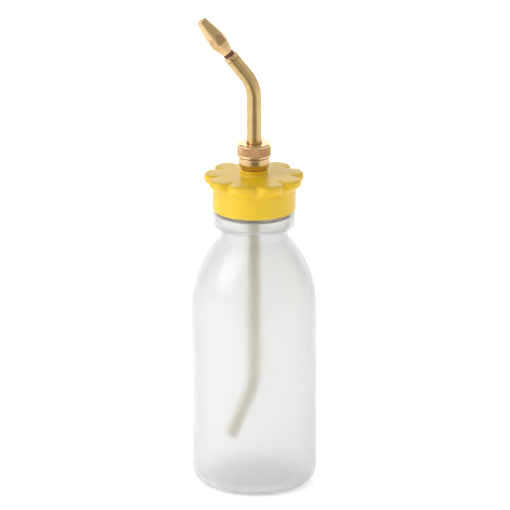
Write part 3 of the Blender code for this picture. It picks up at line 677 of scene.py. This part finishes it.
def build_cap(finish):
    """Lobed cap: the flange swells out of the skirt, and the bore holds the inside thread."""
    panel_middle = (PANEL_UNDERSIDE + CROWN) / 2
    thread_low = SKIRT_BOTTOM + THREAD_LOW_MARGIN
    thread_high = PANEL_UNDERSIDE - THREAD_HIGH_MARGIN
    thread_reach = CAP_BORE - NECK_RADIUS - THREAD_GAP
    thread_start = THREAD_START - (THREAD_ROOT_WIDTH + THREAD_CREST_WIDTH) / 2 - THREAD_GAP

    def shape(angle, radius, height):
        on_crown = radius > CROWN_FLAT and height > panel_middle
        if on_crown or radius > SKIRT_RADIUS:
            rising = (height - TAPER_BOTTOM) / (FLANGE_EDGE + FLANGE_TAPER)
            inwards = (radius - CROWN_FLAT) / (CREST_RADIUS - FLANGE_ROUND - CROWN_FLAT)
            outwards = (radius - SKIRT_RADIUS) / FLANGE_REACH if height < EDGE_BOTTOM else 1.0
            notch = lobe_notch(angle)
            cut = LOBE_DEPTH * min(1.0, inwards, outwards) * notch
            return radius - cut, NOTCH_SINK * min(rising, inwards) * notch, 0.0
        if abs(radius - CAP_BORE) < SAME and thread_low < height < thread_high:
            return radius - thread_reach * ridge_height(angle, height, thread_start), 0.0, 0.0
        return radius, 0.0, 0.0

    cap = spun("cap_shell", cap_outline(), CAP_SEGMENTS, shape=shape)
    return show(cap, "cap", "yellow_plastic", finish, "screw_cap")


# ---------------------------------------------------------------- flat rings, seals and the lock nut
def ring(name, node, body, slot, finish, inner, spine=upright, span=None, outer=None):
    """A flat ring with soft edges in the place of a CAD ring."""
    bottom, top = span or (low(node).z, high(node).z)
    outer = outer or high(node).x
    outline = rounded([(outer, top), (outer, bottom), (inner, bottom), (inner, top)], EDGE_THIN)
    made = weighted(spun(name, outline, BRASS_SEGMENTS, spine=spine))
    return show(made, body, slot, finish, node)


def build_gland_seal(finish):
    """O-ring of round section."""
    section = (high("gland_seal").z - low("gland_seal").z) / 2
    middle = high("gland_seal").x - section
    step = 360 / SEAL_SIDES
    outline = arc((middle, low("gland_seal").z + section), section, 90, step - 270, SEAL_SIDES - 1)
    seal = spun("gland_o_ring", outline, BRASS_SEGMENTS)
    return show(seal, "cap", "black_rubber", finish, "gland_seal")


def build_lock_nut(finish):
    """Hexagon nut whose flats are cut from a turned blank."""
    bottom, top = low("lock_nut").z, high("lock_nut").z
    flat = STEM_HOLE + LOCK_NUT_WALL
    corner = flat / math.cos(math.radians(30))
    outline = rounded([(corner, top), (corner, bottom), (STEM_HOLE, bottom), (STEM_HOLE, top)], EDGE_SOFT)

    def shape(angle, radius, height):
        return min(radius, hexagon(angle, flat)), 0.0, 0.0

    nut = weighted(spun("hexagon_lock_nut", filled(outline, LOCK_NUT_FACET), LOCK_NUT_SEGMENTS, shape=shape))
    return show(nut, "cap", "turned_brass", finish, "lock_nut")


# ---------------------------------------------------------------- fitting and union nut
def build_fitting(finish):
    """Turned body with its male thread, collar, cone and the gland bored in its top."""
    foot = BOSS_TOP + SEAT_GAP
    cone_top = foot + COLLAR_TAPER
    collar_top = cone_top + COLLAR_HEIGHT
    outline = [(MALE_THREAD_RADIUS, FITTING_TOP, EDGE_ROUND), (MALE_THREAD_RADIUS, collar_top, EDGE_KEEN),
               (COLLAR_RADIUS, collar_top, EDGE_SOFT), (COLLAR_RADIUS, cone_top, COLLAR_ROUND),
               (COLLAR_FOOT_RADIUS, foot, EDGE_EASED), (STEM_RADIUS, foot, EDGE_CRISP),
               (STEM_RADIUS, STEM_BOTTOM, EDGE_SOFT), (SPOUT_HOLE, STEM_BOTTOM, EDGE_BROKEN),
               (SPOUT_HOLE, GLAND_FLOOR, EDGE_CRISP), (GLAND_RADIUS, GLAND_FLOOR, EDGE_CRISP),
               (GLAND_RADIUS, FITTING_TOP, EDGE_BROKEN)]
    outline = filled(rounded(outline, EDGE_EASED), FITTING_THREAD_FACET, between=(collar_top, FITTING_TOP))
    outline = filled(outline, BRASS_FACET)
    cut = thread_on(MALE_THREAD_PITCH, MALE_THREAD_DEPTH, collar_top + THREAD_RELIEF,
                    FITTING_TOP + THREAD_OVERRUN)
    middle_of_wall = (GLAND_RADIUS + MALE_THREAD_RADIUS) / 2

    def shape(angle, radius, height):
        if radius > middle_of_wall and height > collar_top:
            return cut(angle, radius, height)
        return radius, 0.0, 0.0

    fitting = weighted(spun("fitting_body", outline, BRASS_SEGMENTS, shape=shape))
    return show(fitting, "cap", "turned_brass", finish, "spout_fitting")


def knurl(angle, height, bottom, top):
    """Depth of the diamond knurl from 0 to 1, running out at both ends of its band."""
    turn = angle / math.tau * NUT_TEETH
    climb = (height - bottom) / (math.tau * NUT_RADIUS / NUT_TEETH)
    fade = clamped(min(height - bottom, top - height) / KNURL_FADE)
    return max(zigzag(turn + climb), zigzag(turn - climb)) ** KNURL_SHARPNESS * fade


def build_union_nut(finish):
    """Round nut with a diamond knurl, a turned top chamfer and a plain foot."""
    lip_bottom = NUT_TOP - NUT_LIP
    chamfer_bottom = NUT_TOP - NUT_CHAMFER
    band_bottom = NUT_BOTTOM + NUT_FOOT
    band_top = chamfer_bottom - NUT_SHOULDER
    outline = [(NUT_RADIUS - NUT_CHAMFER, NUT_TOP, EDGE_THIN), (NUT_RADIUS, chamfer_bottom, EDGE_THIN),
               (NUT_RADIUS, NUT_BOTTOM, EDGE_ROUND), (NUT_BORE, NUT_BOTTOM, EDGE_SOFT),
               (NUT_BORE, lip_bottom, EDGE_CRISP), (SPOUT_HOLE, lip_bottom, EDGE_CRISP),
               (SPOUT_HOLE, NUT_TOP, EDGE_EASED)]
    outline = filled(rounded(outline, EDGE_CRISP), KNURL_FACET,
                     between=(NUT_BOTTOM, chamfer_bottom + EDGE_THIN))
    cut = thread_on(MALE_THREAD_PITCH, -NUT_THREAD_DEPTH, NUT_BOTTOM + NUT_THREAD_LEAD,
                    lip_bottom - THREAD_RELIEF)

    def shape(angle, radius, height):
        if radius > NUT_RADIUS - SAME:
            depth = knurl(angle, height, band_bottom, band_top)
            return radius - KNURL_DEPTH * depth, 0.0, depth
        if abs(radius - NUT_BORE) < SAME:
            return cut(angle, radius, height)
        return radius, 0.0, 0.0

    nut = weighted(spun("knurled_union_nut", outline, NUT_SEGMENTS, shape=shape))
    return show(nut, "nut", "knurled_brass", finish, "union_nut")


# ---------------------------------------------------------------- tubes
SPOUT_STRAIGHT = NUT_TOP + SPOUT_RISE - SPOUT_BOTTOM
SPOUT_LENGTH = SPOUT_STRAIGHT + SPOUT_BEND_RADIUS * SPOUT_LEAN + SPOUT_REACH
spout_spine = bent_spine(SPOUT_STRAIGHT, SPOUT_BEND_RADIUS, SPOUT_LEAN, SPOUT_BOTTOM, down=False,
                         heading=math.pi)


def nozzle_spine(distance):
    """The spout's outer run carried on straight, with 0 at the end of the tube."""
    return spout_spine(SPOUT_LENGTH + distance) if distance > -SPOUT_REACH else spout_spine(SPOUT_LENGTH)


def tube_outline(outer, wall, length):
    """The wall of a tube along its spine, with broken edges at both ends."""
    outline = rounded([(outer, length), (outer, 0.0), (outer - wall, 0.0), (outer - wall, length)], EDGE_THIN)
    return filled(outline + outline[:1], BRASS_FACET)[:-1]


def build_spout(finish):
    """Bent tube that leans over its outer end."""
    outline = tube_outline(SPOUT_RADIUS, SPOUT_WALL, SPOUT_LENGTH)
    tube = spun("spout_pipe", outline, BRASS_SEGMENTS, spine=spout_spine)
    return show(tube, "spout", "drawn_brass", finish, "spout_tube")


def build_dip_tube(finish):
    """Suction tube that starts inside the spout and bends towards a corner of the bottle."""
    tangent = DIP_BEND_RADIUS * math.tan(DIP_LEAN / 2)
    start = SPOUT_BOTTOM + DIP_OVERLAP
    straight = start - DIP_BEND_HEIGHT - tangent
    length = straight + DIP_BEND_RADIUS * DIP_LEAN + DIP_REACH - tangent
    spine = bent_spine(straight, DIP_BEND_RADIUS, DIP_LEAN, start, down=True, heading=DIP_HEADING)
    tube = spun("suction_pipe", tube_outline(DIP_RADIUS, DIP_WALL, length), BRASS_SEGMENTS, spine=spine)
    return show(tube, "spout", "drawn_brass", finish, "dip_tube")


# ---------------------------------------------------------------- nozzle, along its own spine
STUB_BOTTOM = SEAT_GAP + ADAPTER_FLANGE
STUB_TOP = STUB_BOTTOM + STUB_LENGTH
NOZZLE_SEAL_BOTTOM = STUB_BOTTOM + SEAT_GAP
NOZZLE_REAR = NOZZLE_SEAL_BOTTOM + NOZZLE_SEAL_THICKNESS + SEAT_GAP


def build_adapter(finish):
    """Plug in the end of the spout, with a flange and a threaded stub."""
    flange = SPOUT_RADIUS + ADAPTER_FLANGE_STEP
    spigot = SPOUT_RADIUS - SPOUT_WALL - RUNNING_GAP
    outline = [(STUB_RADIUS, STUB_TOP, STUB_END_ROUND), (STUB_RADIUS, STUB_BOTTOM, EDGE_KEEN),
               (flange, STUB_BOTTOM, EDGE_ROUND), (flange, SEAT_GAP, EDGE_CRISP),
               (spigot, SEAT_GAP, EDGE_KEEN), (spigot, -ADAPTER_SPIGOT, EDGE_SOFT),
               (STUB_BORE, -ADAPTER_SPIGOT, EDGE_BROKEN), (STUB_BORE, STUB_TOP, EDGE_BROKEN)]
    outline = filled(rounded(outline, EDGE_CRISP), STUB_THREAD_FACET, between=(STUB_BOTTOM, STUB_TOP))
    cut = thread_on(STUB_THREAD_PITCH, STUB_THREAD_DEPTH, STUB_BOTTOM + STUB_RELIEF,
                    STUB_TOP + THREAD_OVERRUN)
    middle_of_wall = (STUB_BORE + STUB_RADIUS) / 2

    def shape(angle, radius, height):
        if radius > middle_of_wall and height > STUB_BOTTOM + SAME:
            return cut(angle, radius, height)
        return radius, 0.0, 0.0

    adapter = weighted(spun("nozzle_adapter_plug", outline, BRASS_SEGMENTS, spine=nozzle_spine, shape=shape))
    return show(adapter, "spout", "turned_brass", finish, "nozzle_adapter")


def build_nozzle(finish):
    """Hexagon bar turned to two cones, so that each flat ends in an arc on the cone before it."""
    tip = NOZZLE_REAR + NOZZLE_LENGTH - TIP_EASE
    wide_from = NOZZLE_REAR + NOZZLE_REAR_CONE
    wide_to = wide_from + NOZZLE_STRAIGHT
    bore_end = STUB_TOP + NOZZLE_CHAMBER
    rear = STUB_HOLE + NOZZLE_REAR_WALL
    flat = NOZZLE_RADIUS - NOZZLE_FLAT_CUT
    outline = [(NOZZLE_TIP_RADIUS, tip, TIP_ROUND), (NOZZLE_RADIUS, wide_to, EDGE_SOFT),
               (NOZZLE_RADIUS, wide_from, EDGE_SOFT), (rear, NOZZLE_REAR, EDGE_BROKEN),
               (STUB_HOLE, NOZZLE_REAR, EDGE_BROKEN), (STUB_HOLE, bore_end, EDGE_CRISP),
               (ORIFICE_RADIUS, bore_end + NOZZLE_BORE_TAPER, EDGE_EASED),
               (ORIFICE_RADIUS, tip - ORIFICE_MOUTH_DEPTH, EDGE_EASED),
               (ORIFICE_MOUTH_RADIUS, tip, EDGE_BROKEN)]
    outline = filled(rounded(outline, EDGE_EASED), NOZZLE_FACET,
                     between=(NOZZLE_REAR + NOZZLE_PLAIN_REAR, tip))

    def shape(angle, radius, height):
        limit = hexagon(angle, flat)
        on_flat = limit < radius - FLAT_MARGIN
        return min(radius, limit), 0.0, BAR_SKIN if on_flat else 0.0

    nozzle = weighted(spun("drop_nozzle", outline, NOZZLE_SEGMENTS, spine=nozzle_spine, shape=shape))
    return show(nozzle, "nozzle_tip", "turned_brass", finish, "nozzle")


# ---------------------------------------------------------------- studio
def lamp(name, place, aim, width, height, watts, colour=(1.0, 1.0, 1.0)):
    """A softbox at a place, facing a point."""
    light = bpy.data.lights.new(name, "AREA")
    light.shape = "RECTANGLE"
    light.size = width
    light.size_y = height
    light.energy = watts
    light.color = colour
    made = bpy.data.objects.new(name, light)
    bpy.context.scene.collection.objects.link(made)
    made.location = place
    made.rotation_euler = (Vector(aim) - Vector(place)).to_track_quat("-Z", "Y").to_euler()
    return made


def plain(name, colour, roughness):
    """A matt material of one colour for the studio's sheets."""
    made = bpy.data.materials.new(name)
    made.use_nodes = True
    shader = made.node_tree.nodes["Principled BSDF"]
    shader.inputs["Base Color"].default_value = (*colour, 1.0)
    shader.inputs["Roughness"].default_value = roughness
    shader.inputs["Specular IOR Level"].default_value = 0.1
    return made


def sheet(name, width, depth, place, finish):
    """A flat horizontal sheet of the studio."""
    mesh = bpy.data.meshes.new(name)
    work = bmesh.new()
    bmesh.ops.create_grid(work, x_segments=1, y_segments=1, size=0.5)
    for vert in work.verts:
        vert.co = Vector((vert.co.x * width, vert.co.y * depth, 0.0))
    work.to_mesh(mesh)
    work.free()
    made = bpy.data.objects.new(name, mesh)
    bpy.context.scene.collection.objects.link(made)
    made.location = place
    mesh.materials.append(finish)
    return made


def build_studio():
    """White floor, a light sheet behind, softboxes left and right, and a brown card in front.

    The wash lights the floor alone, and the card is seen only in reflections and refractions.
    """
    paper = plain("floor_paper", (0.93, 0.93, 0.93), 0.9)
    brown = plain("card_brown", (0.09, 0.055, 0.02), 0.9)
    floor = sheet("floor", 12.0, 12.0, (0.0, 0.0, 0.0), paper)
    wash = lamp("floor_wash", (0.0, 0.0, 4.0), aim=(0.0, 0.0, 0.0), width=8.0, height=8.0, watts=210.0)
    only_floor = bpy.data.collections.new("floor_only")
    only_floor.objects.link(floor)
    wash.light_linking.receiver_collection = only_floor
    wash.light_linking.blocker_collection = only_floor
    lamp("back_sheet", (0.0, 3.2, 1.0), aim=(0.0, 0.0, 0.6), width=7.0, height=2.6, watts=60.0)
    card = sheet("front_card", 0.62, 0.9, (0.06, -0.75, 0.01), brown)
    card.visible_camera = False
    card.visible_diffuse = False
    card.visible_shadow = False
    world = bpy.data.worlds.new("studio")
    bpy.context.scene.world = world
    world.use_nodes = True
    background = world.node_tree.nodes["Background"]
    background.inputs["Color"].default_value = (1.0, 1.0, 1.0, 1.0)
    background.inputs["Strength"].default_value = 0.55
    lamp("key_softbox", (-1.1, -0.55, 0.85), aim=(0.0, 0.0, 0.1), width=1.05, height=1.1, watts=10.0)
    lamp("right_fill", (1.3, -0.1, 0.5), aim=(0.0, 0.0, 0.12), width=0.9, height=1.2, watts=1.8,
         colour=(1.0, 0.9, 0.78))
    bpy.context.scene.view_settings.view_transform = "Standard"


def build_camera():
    """A distant camera that looks along +Y from 18 degrees above the horizon."""
    elevation = math.radians(18.0)
    distance = 3.0
    image_width = 510              # pixels
    metres_per_pixel = 0.48 * MM
    target = Vector((0.4 * MM, 0.0, 113.5 * MM))
    camera = bpy.data.cameras.new("camera")
    camera.sensor_width = 36.0
    camera.lens = camera.sensor_width * distance / (image_width * metres_per_pixel)
    camera.clip_end = 30.0
    made = bpy.data.objects.new("camera", camera)
    bpy.context.scene.collection.objects.link(made)
    made.location = target + Vector((0.0, -math.cos(elevation), math.sin(elevation))) * distance
    made.rotation_euler = (math.pi / 2 - elevation, 0.0, 0.0)
    bpy.context.scene.camera = made


def build_object():
    """All fifteen pieces with their finishes."""
    turned_brass = brass("brass_turned", rings=1.0, streaks=0.1, roughness=0.27)
    drawn_brass = brass("brass_drawn", rings=0.0, streaks=1.0, roughness=0.31, colour=(0.6, 0.43, 0.19))
    oily_brass = brass("brass_oily", rings=0.0, streaks=1.0, roughness=0.34, colour=(0.56, 0.46, 0.28))
    knurled_brass = brass("brass_knurled", rings=0.5, streaks=0.0, roughness=0.26, colour=(0.8, 0.55, 0.3))
    fibre = red_fibre()
    build_bottle(polyethylene())
    build_cap(yellow_plastic())
    build_fitting(turned_brass)
    build_lock_nut(turned_brass)
    build_union_nut(knurled_brass)
    build_spout(drawn_brass)
    build_dip_tube(oily_brass)
    build_adapter(turned_brass)
    build_nozzle(turned_brass)
    build_gland_seal(rubber())
    ring("foam_liner", "cap_gasket", "cap_liner", "white_foam_liner", white_foam(),
         inner=LOCK_WASHER_RADIUS + GASKET_INNER_GAP)
    ring("fibre_lock_washer", "fitting_washer", "cap", "red_fibre", fibre, inner=STEM_HOLE)
    ring("brazed_collar", "tube_collar", "spout", "turned_brass", turned_brass, inner=SPOUT_HOLE)
    ring("slip_washer", "gland_washer", "nut_washer", "turned_brass", turned_brass, inner=SPOUT_HOLE)
    ring("fibre_nozzle_ring", "nozzle_seal", "nozzle_packing", "red_fibre", fibre, inner=STUB_HOLE,
         spine=nozzle_spine, span=(NOZZLE_SEAL_BOTTOM, NOZZLE_SEAL_BOTTOM + NOZZLE_SEAL_THICKNESS),
         outer=STUB_HOLE + NOZZLE_SEAL_WIDTH)


build_object()
build_studio()
build_camera()
